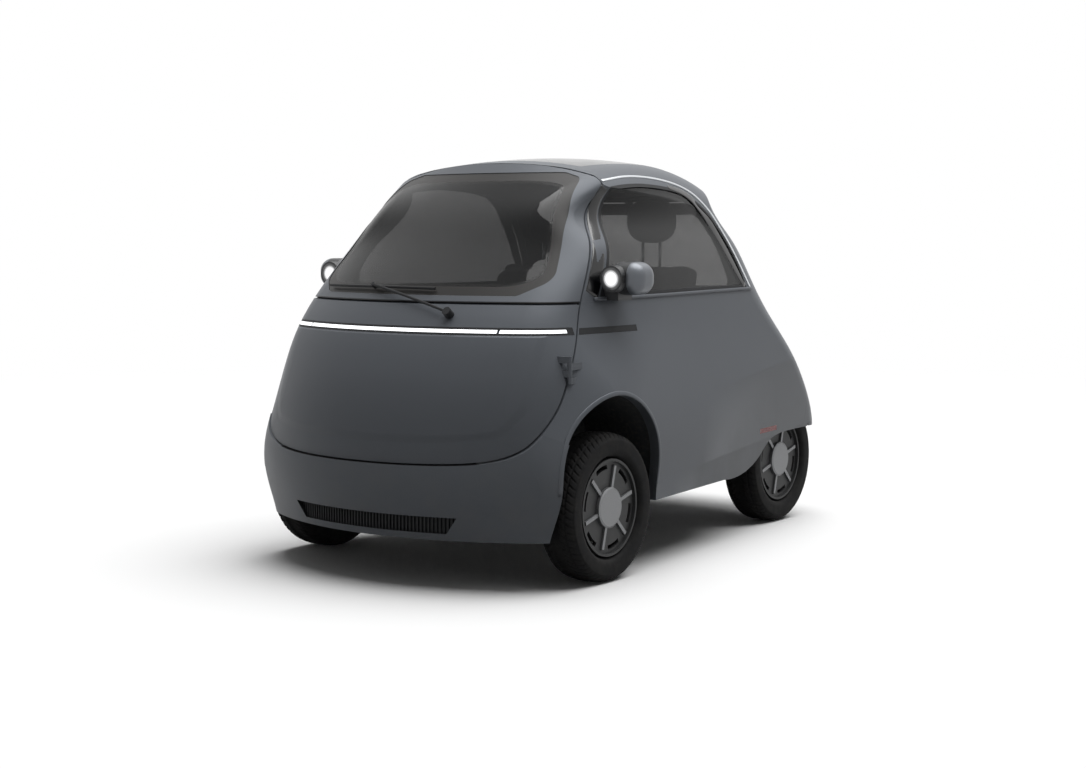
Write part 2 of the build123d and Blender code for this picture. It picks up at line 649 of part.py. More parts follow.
def rim():
    barrel = ring_about_x([(-60, BEAD_R - 10), (-60, RIM_R - 5), (60, RIM_R - 5), (60, BEAD_R - 10)])
    disc = ring_about_x([(36, AXLE_R + BEARING_FIT), (36, BEAD_R - 6), (48, BEAD_R - 6),
                         (48, AXLE_R + BEARING_FIT)])
    hub = ring_about_x([(-HUB_IN, AXLE_R + BEARING_FIT), (-HUB_IN, 34), (36, 34),
                        (48, HUB_R), (60, HUB_R), (64, HUB_R - 6), (64, 0), (34, 0),
                        (34, AXLE_R + BEARING_FIT)])
    shape = barrel + disc + hub
    for i in range(SPOKES):
        turn = Rot(360 / SPOKES * i + 15, 0, 0)
        shape += turn * (Pos(51, (HUB_R + 148) / 2, 0) * Box(10, 148 - HUB_R + 4, 13))
        slot = (ring_about_x([(30, 134), (30, 150), (54, 150), (54, 134)])
                & (Rot(30, 0, 0) * box(0, 100, 0, 200, -34, 34)))
        shape -= turn * slot
    return shape


wheel = rim()
tyre_ring = tyre()
for name, x, y, side in (("front_left", FRONT_TRACK / 2, 0, 1), ("front_right", FRONT_TRACK / 2, 0, -1),
                         ("rear_left", REAR_TRACK / 2, REAR_AXLE, 1),
                         ("rear_right", REAR_TRACK / 2, REAR_AXLE, -1)):
    for kind, shape in (("rim_", wheel), ("tyre_", tyre_ring)):
        placed = Pos(x, y, TYRE_R) * shape
        parts[kind + name] = placed if side > 0 else mirror(placed, about=Plane.YZ)

# ------------------------------------------------------------------ seats
BASE_T = 12
BACK_T, BACK_H = 110, 590
BACK_LEAN = 10                # degrees
SOFT_R = 30
seat_box = box(-SEAT_HALF, SEAT_HALF, SEAT_Y0, SEAT_Y1 + BACK_T, FLOOR_Z + FLOOR_T, SEAT_Z)
seat_room = box(-SEAT_HALF + BASE_T, SEAT_HALF - BASE_T, SEAT_Y0 + BASE_T, SEAT_Y1 + BACK_T - BASE_T,
                FLOOR_Z, SEAT_Z - BASE_T)
parts["seat_base"] = seat_box - seat_room
cushion = box(-SEAT_HALF, SEAT_HALF, SEAT_Y0 - 10, SEAT_Y1 - 14, SEAT_Z + SEAM,
              SEAT_Z + CUSHION_T)
parts["seat_cushion"] = fillet(cushion.edges(), SOFT_R)
lean = radians(BACK_LEAN)
back_z = SEAT_Z + SEAM + (BACK_T - SOFT_R) * sin(lean) + SOFT_R * (1 - cos(lean))
back_at = Pos(0, SEAT_Y1 - 12, back_z) * Rot(-BACK_LEAN, 0, 0)
back = Pos(0, BACK_T / 2, BACK_H / 2) * Box(2 * SEAT_HALF - 20, BACK_T, BACK_H)
parts["seat_back"] = back_at * fillet(back.edges(), SOFT_R)
SEAT_X = 245
HEAD_W, HEAD_H, HEAD_T = 180, 185, 92
HEAD_GAP = 50
POST_R, POST_X = 6, 45
head = fillet(Box(HEAD_W, HEAD_T, HEAD_H).edges(), 42)
head = Pos(0, BACK_T / 2, BACK_H + HEAD_GAP + HEAD_H / 2) * head
posts = [Pos(x, BACK_T / 2, BACK_H + SEAM + 40) * Cylinder(POST_R, 80) for x in (-POST_X, POST_X)]
heads = Part()
for x in (-SEAT_X, SEAT_X):
    heads += Pos(x, 0, 0) * (head + posts)
parts["headrests"] = back_at * heads

# ------------------------------------------------------------------ steering wheel, column, shelf
tilt = radians(WHEEL_TILT)
axis_dir = Vector(0, sin(tilt), cos(tilt))
WHEEL_C = Vector(WHEEL_X, WHEEL_Y, WHEEL_Z)
wheel_plane = Plane(origin=WHEEL_C, z_dir=axis_dir)
rim_ring = Torus(WHEEL_R - 13, 13)
hub = Pos(0, 0, -14) * Cylinder(42, 40)
bars = [Rot(0, 0, a) * Pos((WHEEL_R - 13) / 2, 0, -6) * Box(WHEEL_R - 20, 30, 12) for a in (10, 170, 270)]
SHAFT_R = 9
shaft_bore = Pos(0, 0, -30) * Cylinder(SHAFT_R + PIN_FIT, 30)
parts["steering_wheel"] = wheel_plane * ((rim_ring + hub + bars) - shaft_bore)
foot = WHEEL_C - axis_dir * ((WHEEL_Z - FLOOR_Z - FLOOR_T) / cos(tilt))
tube_top = WHEEL_C - axis_dir * 40
column = rod(foot + axis_dir * 20, tube_top, 24) & slab(FLOOR_Z + FLOOR_T, 1400)
column += rod(tube_top, WHEEL_C - axis_dir * 16, SHAFT_R)
column += Pos(foot.X, foot.Y + 15, FLOOR_Z + FLOOR_T + 5) * Box(110, 120, 10)
parts["steering_column"] = column
SHELF_Z, SHELF_T, SHELF_DEEP = 905, 34, 60
parts["door_shelf"] = (layer(WALL + SEAM, WALL + SHELF_DEEP)
                       & box(-480, 480, -900, -60, SHELF_Z, SHELF_Z + SHELF_T))
PEDAL_XS = (120, 190)
pan_top = FLOOR_Z + FLOOR_T
pedal_arm = [rod((x, -350, pan_top + 75), (x, -390, pan_top + 6), 6) for x in PEDAL_XS]
pedal_pad = [Pos(x, -347, pan_top + 80) * Rot(25, 0, 0) * Box(50, 10, 60) for x in PEDAL_XS]
pedal_foot = Pos(sum(PEDAL_XS) / 2, -393, pan_top + 7) * Box(130, 40, 14)
parts["pedals"] = Part() + pedal_arm + pedal_pad + pedal_foot

for name, shape in parts.items():
    export_step(Pos(0, FRAME_Y, 0) * shape, f"parts/{name}.step")
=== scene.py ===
# %% [markdown]
# # Dressing a small electric two-seater
# The frame holds every solid of the car at its real place, in metres: x runs to
# the car's left, y to its back and z up. The cells below give each solid its
# finish, and lay finer surfaces over the ones that need them.

# %% Load the frame
import math

import bmesh
import bpy
import numpy as np
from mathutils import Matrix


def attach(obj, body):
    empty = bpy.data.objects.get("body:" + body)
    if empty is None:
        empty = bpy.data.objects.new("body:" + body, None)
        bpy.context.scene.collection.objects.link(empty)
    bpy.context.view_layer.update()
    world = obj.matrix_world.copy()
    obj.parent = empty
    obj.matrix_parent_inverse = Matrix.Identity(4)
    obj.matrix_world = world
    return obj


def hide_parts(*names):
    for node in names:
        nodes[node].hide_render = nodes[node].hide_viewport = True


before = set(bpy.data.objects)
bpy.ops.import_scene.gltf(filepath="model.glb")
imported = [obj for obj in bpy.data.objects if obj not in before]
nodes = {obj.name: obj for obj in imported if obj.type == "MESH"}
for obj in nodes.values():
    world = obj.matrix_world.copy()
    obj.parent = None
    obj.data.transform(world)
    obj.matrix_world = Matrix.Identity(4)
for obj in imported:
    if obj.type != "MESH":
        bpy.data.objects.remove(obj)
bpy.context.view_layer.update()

# %% [markdown]
# A car is looked at from standing height, three quarters from the front. A long
# lens keeps its round nose from swelling, so this one is 60 mm on a 36 mm frame.

# %% Camera
lens = bpy.data.cameras.new("lens")
lens.lens = 60
lens.sensor_width = 36
camera = bpy.data.objects.new("camera", lens)
camera.location = (4.1188, -5.9176, 1.2294)
camera.rotation_euler = (math.radians(85.08), 0, math.radians(35.58))
bpy.context.scene.collection.objects.link(camera)
bpy.context.scene.camera = camera
bpy.context.scene.view_settings.view_transform = "Standard"


# %% [markdown]
# Shader sums get long when every node is placed by hand. A wire stands for one
# socket, so that ordinary arithmetic on wires lays down the nodes. Patterns are
# then formulas of a point's place on the car.

# %% Wires: arithmetic on shader sockets
class Wire:
    """A socket of one material. Sums, products and comparisons of wires add nodes."""

    def __init__(self, tree, socket=None):
        self.tree = tree
        self.socket = socket

    def node(self, kind, settings=None, values=None, out=0):
        """Adds a node: its settings first, then the numbers or wires of its inputs."""
        made = self.tree.nodes.new(kind)
        for name, setting in (settings or {}).items():
            if name == "stops":
                for stop, (place, colour) in zip(made.color_ramp.elements, setting):
                    stop.position, stop.color = place, (*colour, 1)
            else:
                setattr(made, name, setting)
        for name, value in (values or {}).items():
            if isinstance(value, Wire):
                self.tree.links.new(value.socket, made.inputs[name])
            elif isinstance(value, tuple) and made.inputs[name].type == "RGBA":
                made.inputs[name].default_value = (*value, 1)
            else:
                made.inputs[name].default_value = value
        return Wire(self.tree, made.outputs[out])

    def maths(self, operation, *values):
        """One Math node on these values."""
        return self.node("ShaderNodeMath", {"operation": operation}, dict(enumerate(values)))

    def __add__(self, other):
        return self.maths("ADD", self, other)

    __radd__ = __add__

    def __sub__(self, other):
        return self.maths("SUBTRACT", self, other)

    def __rsub__(self, other):
        return self.maths("SUBTRACT", other, self)

    def __mul__(self, other):
        return self.maths("MULTIPLY", self, other)

    __rmul__ = __mul__

    def __truediv__(self, other):
        return self.maths("DIVIDE", self, other)

    def __abs__(self):
        return self.maths("ABSOLUTE", self)

    def least(self, other, soft=0.0):
        """The smaller of two values, with its corner rounded over the width soft."""
        return self.maths("SMOOTH_MIN", self, other, soft)

    def most(self, other):
        """The larger of two values."""
        return self.maths("MAXIMUM", self, other)

    def sine(self, factor):
        """The sine of this wire times a number."""
        wave = self * factor
        return wave.maths("SINE", wave)

    def squared(self):
        """This wire times itself."""
        return self * self

    def rise(self, low, high):
        """0 below low, 1 above high, and a smooth climb between."""
        return self.node("ShaderNodeMapRange", {"interpolation_type": "SMOOTHSTEP"},
                         {"Value": self, "From Min": low, "From Max": high})

    def band(self, low, high, soft=0.001):
        """1 between low and high, and 0 outside."""
        return self.rise(low - soft, low) * (1 - self.rise(high, high + soft))

    def split(self):
        """The three numbers of a place."""
        return [self.node("ShaderNodeSeparateXYZ", None, {0: self}, out) for out in range(3)]

    def noise(self, scale, detail=3.0):
        """Cloudy values near 0.5, with this many clouds to a metre."""
        return self.node("ShaderNodeTexNoise", None,
                         {"Vector": self, "Scale": scale, "Detail": detail})

    def cells(self, scale):
        """The distance from the nearest of scattered points."""
        return self.node("ShaderNodeTexVoronoi", None, {"Vector": self, "Scale": scale})

    def blend(self, first, second):
        """The first colour where this wire is 0, the second where it is 1."""
        return self.node("ShaderNodeMix", {"data_type": "RGBA"}, {0: self, 6: first, 7: second}, 2)

    def along(self, other):
        """How far this arrow reaches in the direction of the other."""
        return self.node("ShaderNodeVectorMath", {"operation": "DOT_PRODUCT"},
                         {0: self, 1: other}, "Value")

    def bump(self, distance, under=None):
        """A normal that leans as if the surface rose by this wire times distance."""
        values = {"Height": self, "Distance": distance}
        if under:
            values["Normal"] = under
        return self.node("ShaderNodeBump", None, values)


class Finish:
    """One material, with its shader and the wires of a point's place on the car."""

    def __init__(self, name, **fixed):
        self.material = bpy.data.materials.new(name)
        self.material.use_nodes = True
        self.tree = self.material.node_tree
        self.tree.nodes.clear()
        self.shader = self.tree.nodes.new("ShaderNodeBsdfPrincipled")
        self.end = self.tree.nodes.new("ShaderNodeOutputMaterial")
        self.tree.links.new(self.shader.outputs[0], self.end.inputs[0])
        self.place = Wire(self.tree).node("ShaderNodeTexCoord", out="Object")
        self.x, self.y, self.z = self.place.split()
        self.set(**fixed)

    def set(self, **values):
        """Sets or wires the shader's own inputs, whose spaces are written _ here."""
        for name, value in values.items():
            plug = self.shader.inputs[name.replace("_", " ")]
            if isinstance(value, Wire):
                self.tree.links.new(value.socket, plug)
            elif plug.type == "RGBA":
                plug.default_value = (*value, 1)
            else:
                plug.default_value = value
        return self


def depth_inside(across, up, corners, soft):
    """How deep a point lies inside an outline that bulges outwards everywhere.

    The least of its distances from the outline's straight sides, which are walked
    with the inside on their left. soft rounds the corners.
    """
    depth = None
    for (x0, z0), (x1, z1) in zip(corners, corners[1:]):
        length = math.hypot(x1 - x0, z1 - z0)
        lean, climb = (z0 - z1) / length, (x1 - x0) / length
        side = across * lean + up * climb - (x0 * lean + z0 * climb)
        depth = side if depth is None else depth.least(side, soft)
    return depth


# %% [markdown]
# The paint is a satin graphite: metal flakes in a blue-grey base under a matt
# lacquer. Up close it has flake sparkle and a faint orange peel, and road dust
# gathers low down. The nose panel has a soft crease all round, which is a
# height that falls away outside a drawn outline, so the bump node can hold it.
# The body sides turn in below two creases that climb towards the back.

# %% Paint
GRAPHITE = (0.106, 0.115, 0.129)
DUST = (0.17, 0.165, 0.155)
DUST_LOW, DUST_HIGH = 0.2, 0.62
CHARCOAL = (0.012, 0.0125, 0.0135)
# Near-black painted shade for the groove under the windscreen.
GROOVE_SHADE = (0.004, 0.004, 0.005)
CABIN_MIDDLE = (0.0, -0.1, 0.8)
# Height of each crease at the car's middle, and its climb for each metre to the back.
UPPER_CREASE = (0.6105, 0.0873)
SKIRT_CREASE = (0.3458, 0.0565)
# The nose panel's outline (x, z) and half the width of its crease. Then the heights
# of the light bar's lower edge, of the groove under the screen, whose shade is painted
# in as a near-black band, and of the place from which the panel tucks in downwards.
PANEL = [(0.0, 0.517), (0.33, 0.518), (0.505, 0.541), (0.563, 0.623), (0.57, 0.754), (0.561, 0.9)]
CREASE_HALF = 0.016
BAR_Z = 0.86
SHADED_GROOVE_Z = (0.9705, 0.9775)
TUCK_TOP = 0.74


def faces_cabin(made):
    """1 on a face that looks back at the middle of the cabin, and 0 outside.

    Its normal and the arrow from the middle to it then point opposite ways.
    """
    facing = made.place.node("ShaderNodeTexCoord", out="Normal")
    outward = made.place.node("ShaderNodeVectorMath", {"operation": "SUBTRACT"},
                              {0: made.place, 1: CABIN_MIDDLE})
    return 1 - facing.along(outward).rise(-0.04, 0.0)


def graphite(name, tone=1.0):
    """Satin graphite paint, with flakes, orange peel and dust near the ground.

    Inside the cabin the same panels wear charcoal trim.
    """
    made = Finish(name, Specular_IOR_Level=0.14)
    lining = faces_cabin(made)
    flakes = made.place.cells(1400)
    patches = made.place.noise(2.2, 2)
    dust = (1 - made.z.rise(DUST_LOW, DUST_HIGH)) * made.place.noise(9, 5).rise(0.35, 0.75) * 0.16
    base = (patches * 0.5 + flakes * 0.35).blend(tuple(c * tone * 0.9 for c in GRAPHITE),
                                                 tuple(c * tone * 1.14 for c in GRAPHITE))
    peel = made.place.noise(260, 1).bump(0.00006)
    colour = lining.blend(dust.blend(base, DUST), CHARCOAL)
    made.set(Base_Color=colour, Normal=peel, Metallic=0.2 - lining * 0.2,
             Coat_Weight=0.05 - lining * 0.05, Coat_Roughness=0.25,
             Roughness=0.40 + flakes * 0.04 + dust * 0.4 + lining * 0.4)
    return made, colour, peel


def below_crease(made, crease, soft, fade_from, fade_to):
    """0 over a crease, and minus the depth below it where it has faded in."""
    height, climb = crease
    over = made.z - (height + made.y * climb)
    return over.least(0.0, soft) * made.y.rise(fade_from, fade_to)


paint = graphite("paint")[0]
bumper_paint = graphite("bumper_paint", 0.92)[0]

side_paint, _, peel = graphite("side_paint")
turned_in = below_crease(side_paint, UPPER_CREASE, 0.01, -0.05, 0.65) * 0.42
skirt = below_crease(side_paint, SKIRT_CREASE, 0.008, -0.3, 0.1) * 0.45
side_paint.set(Normal=(turned_in + skirt).bump(1.0, peel))

door_paint, colour, peel = graphite("door_paint")
inside = depth_inside(abs(door_paint.x), door_paint.z, PANEL, 0.03)
shoulder = inside.rise(-CREASE_HALF, CREASE_HALF)
below_bar = 1 - door_paint.z.rise(BAR_Z, BAR_Z + 0.008)
# A near-black band under the screen is painted shade in the groove there.
groove_shade = door_paint.z.band(*SHADED_GROOVE_Z, 0.0012)
tuck = (TUCK_TOP - door_paint.z).most(0.0).squared() * -0.8
door_paint.set(Normal=(shoulder * below_bar * 0.006 + tuck).bump(1.0, peel),
               Base_Color=groove_shade.blend(colour, GROOVE_SHADE))

# %% [markdown]
# Moulded plastic has a fine pebbled grain, gloss plastic has almost none, and
# rubber is matt with a bloom. Fine cells or noise in the bump make the grain.
# The lamp shines in a round patch about its middle, behind ringed glass.

# %% Plastic, rubber and lamp finishes
LAMP_X, LAMP_Z = 0.654, 1.054

grained = Finish("dark_plastic", Specular_IOR_Level=0.25)
pebbles = grained.place.cells(900)
grained.set(Base_Color=grained.place.noise(30).blend((0.006, 0.0065, 0.0075),
                                                     (0.014, 0.0145, 0.016)),
            Roughness=0.5 + pebbles * 0.22, Normal=pebbles.bump(0.00012))

gloss = Finish("gloss_black", Specular_IOR_Level=0.4, Coat_Weight=0.2, Coat_Roughness=0.04)
gloss.set(Base_Color=gloss.place.noise(5).blend((0.0016, 0.0018, 0.0024), (0.003, 0.0032, 0.004)),
          Roughness=0.1 + gloss.place.noise(14, 5) * 0.12,
          Normal=gloss.place.noise(60, 1).bump(0.00004))

light_tape = Finish("led_white", Roughness=0.3, Emission_Strength=1.5)
beads = light_tape.x.sine(330)
light_tape.set(Base_Color=(0.92, 0.93, 0.95),
               Emission_Color=(beads * 0.5 + 0.5).blend((0.93, 0.96, 1.0), (1.0, 1.0, 1.0)))

lamp = Finish("lamp_glass", Roughness=0.12, Coat_Weight=1.0, Emission_Strength=1.0)
reach = (abs(lamp.x) - LAMP_X).squared() + (lamp.z - LAMP_Z).squared()
radius = reach.maths("SQRT", reach)
lamp.set(Base_Color=radius.rise(0.026, 0.033).blend((0.9, 0.92, 0.95), (0.05, 0.055, 0.06)),
         Emission_Color=(1 - radius.rise(0.018, 0.034)).blend((0.01, 0.01, 0.01), (1.0, 1.0, 1.0)),
         Normal=radius.sine(900).bump(0.0002))

red = Finish("red_lens", Roughness=0.2, Specular_IOR_Level=0.2)
facets = red.y.sine(700) * red.z.sine(700)
red.set(Base_Color=(facets * 0.5 + 0.5).blend((0.12, 0.004, 0.004), (0.3, 0.011, 0.009)),
        Normal=facets.bump(0.0006))

rubber = Finish("tyre_rubber", Specular_IOR_Level=0.15)
bloom = rubber.place.noise(22, 6)
rubber.set(Base_Color=bloom.rise(0.35, 0.7).blend((0.0075, 0.0075, 0.008), (0.02, 0.0195, 0.019)),
           Roughness=0.68 + bloom * 0.22, Normal=rubber.place.noise(420, 2).bump(0.00015))

# %% [markdown]
# Metals: the trim strip is brushed along its length, the chassis is black
# powder coat, the motor is cast and the battery's case is ribbed.

# %% Metals
trim = Finish("bright_trim", Metallic=1.0)
drawn_out = trim.place.node("ShaderNodeMapping", None,
                            {"Vector": trim.place, "Scale": (900.0, 12.0, 900.0)})
brush = drawn_out.noise(1.0, 4.0)
trim.set(Base_Color=brush.blend((0.56, 0.58, 0.6), (0.72, 0.74, 0.76)),
         Roughness=0.22 + brush * 0.16, Normal=brush.bump(0.00003))

steel = Finish("chassis_steel", Metallic=0.3)
speck = steel.place.noise(80, 5)
steel.set(Base_Color=speck.rise(0.4, 0.75).blend((0.016, 0.018, 0.02), (0.045, 0.043, 0.04)),
          Roughness=0.55 + speck * 0.25, Normal=speck.bump(0.0003))

cast = Finish("machine_alu", Metallic=0.9)
grit = cast.place.noise(300, 4)
cast.set(Base_Color=grit.blend((0.22, 0.23, 0.245), (0.33, 0.345, 0.36)),
         Roughness=0.42 + grit * 0.2, Normal=grit.bump(0.0004))

case = Finish("battery_case", Metallic=0.4)
ribs = case.x.sine(105)
case.set(Base_Color=case.place.noise(40, 4).blend((0.034, 0.038, 0.042), (0.055, 0.06, 0.066)),
         Roughness=0.5 + case.place.noise(120) * 0.2, Normal=ribs.rise(0.5, 0.8).bump(0.004))

# %% [markdown]
# Car glass is dark: it lets a little through and mirrors a little. Alpha gives
# that without bending rays. The screen's edge has a printed band which hides the
# glue, drawn here as the strip within 33 mm of the outline, with dots beyond it.

# %% Glass
TINT = (0.012, 0.0125, 0.013)
PRINT = (0.034, 0.0325, 0.0315)
PRINT_WIDE, DOTS_WIDE = 0.033, 0.040
SCREEN_ALPHA = 0.8
SCREEN = [(0.0, 0.996), (0.43, 0.996), (0.519, 1.05), (0.404, 1.412), (0.33, 1.433), (0.0, 1.433)]


def pane(name, alpha, way_out):
    """Tinted glass; alpha is how much light a face keeps back where it tints.

    A face tints where its normal leans the way out: along y, or along x away
    from the middle where way_out is None. Blender turns a normal towards the
    eye, so a pane tints to someone outside and is clear to someone inside.
    """
    made = Finish(name, Base_Color=TINT, Specular_IOR_Level=0.16)
    smear = made.place.noise(7, 4)
    facing = made.place.node("ShaderNodeTexCoord", out="Normal").split()
    lean = facing[0] * made.x if way_out is None else facing[1] * way_out
    outer = lean.rise(-0.001, 0.001)
    made.set(Alpha=outer * (alpha + smear * 0.05), Roughness=0.03 + smear * 0.03)
    return made, outer


glass = pane("side_glass", 0.72, None)[0]
rear_glass = pane("rear_glass", 0.7, 1.0)[0]
screen_glass, outer = pane("windscreen_glass", SCREEN_ALPHA, -1.0)
margin = depth_inside(abs(screen_glass.x), screen_glass.z, SCREEN, 0.05)
printed = 1 - margin.rise(PRINT_WIDE - 0.003, PRINT_WIDE)
dots = screen_glass.place.cells(240).rise(0.3, 0.5) * margin.band(PRINT_WIDE, DOTS_WIDE)
smear = screen_glass.place.noise(7, 4)
cover = printed.most(dots * 0.4)
screen_glass.set(Alpha=outer * (cover * 0.17 + SCREEN_ALPHA + smear * 0.03),
                 Base_Color=cover.blend(TINT, PRINT), Roughness=0.03 + cover * 0.35)

# %% [markdown]
# Seat cloth is a plain weave: over and under threads are two sines at right
# angles, with a fleck of lighter yarn.

# %% Seat cloth
THREADS = 1900
cloth = Finish("seat_fabric", Roughness=0.92, Sheen_Weight=0.35, Sheen_Roughness=0.5)
over = cloth.x.sine(THREADS)
under = (cloth.y + cloth.z).sine(THREADS)
fleck = cloth.place.noise(160, 4)
cloth.set(Base_Color=fleck.rise(0.45, 0.75).blend((0.022, 0.023, 0.026), (0.06, 0.062, 0.066)),
          Normal=(over * under).bump(0.0006))

# %% [markdown]
# The wheel is one solid with two finishes: a black disc and silver spokes and
# hub. What stands proud of the disc is silver, so the mask is a point's
# distance from the wheel's middle plane.

# %% Wheel finishes
FRONT_HALF, REAR_HALF = 0.625, 0.467
FRONT_Y, REAR_Y = -0.716, 0.819
TYRE_R, DISC_R = 0.262, 0.148
PROUD_X = 0.049


def wheel_finish(name, half, axle_y):
    """Silver within the disc where it stands over PROUD_X out from the middle plane."""
    made = Finish(name)
    reach = (made.y - axle_y).squared() + (made.z - TYRE_R).squared()
    within = 1 - reach.rise((DISC_R - 0.001) ** 2, (DISC_R + 0.001) ** 2)
    proud = (abs(made.x) - half).rise(PROUD_X - 0.0005, PROUD_X + 0.0005) * within
    grain = made.place.noise(700, 2)
    made.set(Base_Color=proud.blend(grain.blend((0.008, 0.0085, 0.009), (0.016, 0.0165, 0.017)),
                                    grain.blend((0.16, 0.163, 0.168), (0.24, 0.244, 0.25))),
             Metallic=proud * 0.7, Roughness=0.52 - proud * 0.16 + grain * 0.08,
             Normal=grain.bump(0.00006))
    return made


front_wheel = wheel_finish("front_wheel", FRONT_HALF, FRONT_Y)
rear_wheel = wheel_finish("rear_wheel", REAR_HALF, REAR_Y)

# %% [markdown]
# A mirror pod has two shells: dark plastic round the lamp, and a painted cap
# outboard of a fine joint. A point's distance from the car's middle tells them
# apart. The steering wheel's rim wears leather.

# %% Pod and steering wheel finishes
CAP_X = 0.70
BLACK_JOINT = (0.002, 0.002, 0.002)
pod_finish = Finish("pod_finish", Coat_Roughness=0.3)
capped = abs(pod_finish.x).rise(CAP_X, CAP_X + 0.0006)
joint = abs(pod_finish.x).band(CAP_X - 0.0016, CAP_X, 0.0004)
sparkle = pod_finish.place.cells(1400)
pod_colour = capped.blend((0.03, 0.031, 0.033), tuple(c * 1.15 for c in GRAPHITE))
pod_finish.set(Base_Color=joint.blend(pod_colour, BLACK_JOINT),
               Metallic=capped * 0.5, Coat_Weight=capped * 0.3, Roughness=0.4 + sparkle * 0.06,
               Normal=pod_finish.place.noise(260, 1).bump(0.00006))

leather = Finish("leather", Specular_IOR_Level=0.4)
creased = leather.place.cells(420)
leather.set(Base_Color=creased.blend((0.012, 0.012, 0.013), (0.022, 0.022, 0.023)),
            Roughness=0.48 + creased * 0.15, Normal=creased.bump(0.0003))

# %% [markdown]
# Every solid takes the finish that its part has on the real car.

# %% Give each solid its finish
WEAR = {
    pod_finish: ["mirror_pod_left", "mirror_pod_right"],
    leather: ["steering_wheel"],
    paint: ["roof_panel", "hinges_fixed", "hinges_moving", "hatch_hinges_fixed",
            "hatch_hinges_moving"],
    side_paint: ["body_side_left", "body_side_right", "rear_hatch", "rear_bumper"],
    door_paint: ["front_door"],
    bumper_paint: ["front_bumper"],
    grained: ["grille", "window_frames", "door_shelf", "pedals", "steering_column", "side_plates",
              "light_bar", "wiper", "rear_light_bar"],
    gloss: ["sunroof"],
    light_tape: ["light_strip"],
    lamp: ["headlamp_left", "headlamp_right"],
    red: ["rear_reflectors"],
    glass: ["side_glass_left", "side_glass_right"],
    rear_glass: ["rear_glass"],
    screen_glass: ["windscreen"],
    cloth: ["seat_cushion", "seat_back", "headrests"],
    steel: ["floor_pan", "rear_axle", "front_arms_left", "front_arms_right", "knuckle_left",
            "knuckle_right", "seat_base"],
    cast: ["motor"],
    case: ["battery"],
    rubber: ["tyre_front_left", "tyre_front_right", "tyre_rear_left", "tyre_rear_right"],
    front_wheel: ["rim_front_left", "rim_front_right"],
    rear_wheel: ["rim_rear_left", "rim_rear_right"],
}
for finish, names in WEAR.items():
    for name in names:
        node = nodes[name]
        node.data.materials.clear()
        node.data.materials.append(finish.material)
print("dressed", sum(len(names) for names in WEAR.values()))

# %% [markdown]
# The new pieces are grids: rows and columns of points that a formula places,
# joined into four-sided faces. A tyre is such a grid closed both ways.

# %% Grids into meshes
def surface(name, points, finish, body, round_rows=False, round_columns=False):
    """A smooth piece that rides on a body, from points[row, column].

    Each point is joined to the next row and column, and the last to the first
    where round_rows or round_columns asks for it.
    """
    rows, columns = points.shape[:2]
    index = np.arange(rows * columns).reshape(rows, columns)
    down = np.arange(rows if round_rows else rows - 1)
    along = np.arange(columns if round_columns else columns - 1)
    below, beyond = (down + 1) % rows, (along + 1) % columns
    faces = np.stack((index[np.ix_(down, along)], index[np.ix_(below, along)],
                      index[np.ix_(below, beyond)], index[np.ix_(down, beyond)]), -1)
    mesh = bpy.data.meshes.new(name)
    mesh.from_pydata(points.reshape(-1, 3).tolist(), [], faces.reshape(-1, 4).tolist())
    mesh.shade_smooth()
    mesh.materials.append(finish.material)
    piece = bpy.data.objects.new(name, mesh)
    bpy.context.scene.collection.objects.link(piece)
    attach(piece, body)
    return piece


# %% [markdown]
# Road tyres: a wide flat crown between round shoulders, cut by rain grooves
# round the crown and by slanted slits across it. The profile is a squared-off
# ring, and the tread is a second formula that lowers the crown by up to 7 mm.

# %% Tyres with tread
WIDE, HIGH = 0.073, 0.043
ROUND_STEPS = 600
# Where the crown starts and the bead starts and ends, in half turns round the profile.
CROWN_FROM, BEAD_FROM, BEAD_TO = 0.22, 1.25, 1.75
# The rings' distances from the middle plane, and then half a ring's width and its slope.
RINGS = (-0.044, -0.016, 0.016, 0.044)
RING_HALF, RING_EDGE = 0.0036, 0.0014
# Slits to a turn, and then how they lean, how near the middle they start and their share
# of a ring's depth.
PITCHES = 60
SLIT_LEAN, SLIT_START, SLIT_DEEP = 26, 0.017, 0.75
TREAD_END, TREAD_FADE = 0.0715, 0.006
TREAD_DEEP, CROWN_DOME, CLEAR = 0.007, 0.004, 0.0003


def cross_section(count_crown=46, count_side=13, count_bead=6):
    """The profile's points (across, up), close on the crown and wider elsewhere.

    It is a circle drawn out towards a square: across = WIDE * sign(cos) * |cos| ** 0.5
    and up = HIGH * sign(sin) * |sin| ** 0.5 of the turn.
    """
    crown = np.linspace(CROWN_FROM, 1 - CROWN_FROM, count_crown, endpoint=False)
    side = np.linspace(1 - CROWN_FROM, BEAD_FROM, count_side, endpoint=False)
    bead = np.linspace(BEAD_FROM, BEAD_TO, count_bead, endpoint=False)
    other = np.linspace(BEAD_TO, 2 + CROWN_FROM, count_side, endpoint=False)
    turn = np.concatenate((crown, side, bead, other)) * math.pi
    across = WIDE * np.sign(np.cos(turn)) * np.abs(np.cos(turn)) ** 0.5
    up = HIGH * np.sign(np.sin(turn)) * np.abs(np.sin(turn)) ** 0.5
    return across, up


def tread_depth(across, round_):
    """0 on a tread block, 1 in a groove: four rings and slanted slits between."""
    rings = np.min([np.abs(across - place) for place in RINGS], axis=0)
    ring = np.clip((RING_HALF - rings) / RING_EDGE, 0, 1)
    slant = round_ * PITCHES / (2 * math.pi) + np.abs(across) * SLIT_LEAN + np.sign(across) * 0.25
    slit = np.clip((0.11 - np.abs(slant % 1 - 0.5)) / 0.06, 0, 1)
    slit = slit * (np.abs(across) > SLIT_START) * SLIT_DEEP
    fade = np.clip((TREAD_END - np.abs(across)) / TREAD_FADE, 0, 1)
    return np.maximum(ring, slit) * fade


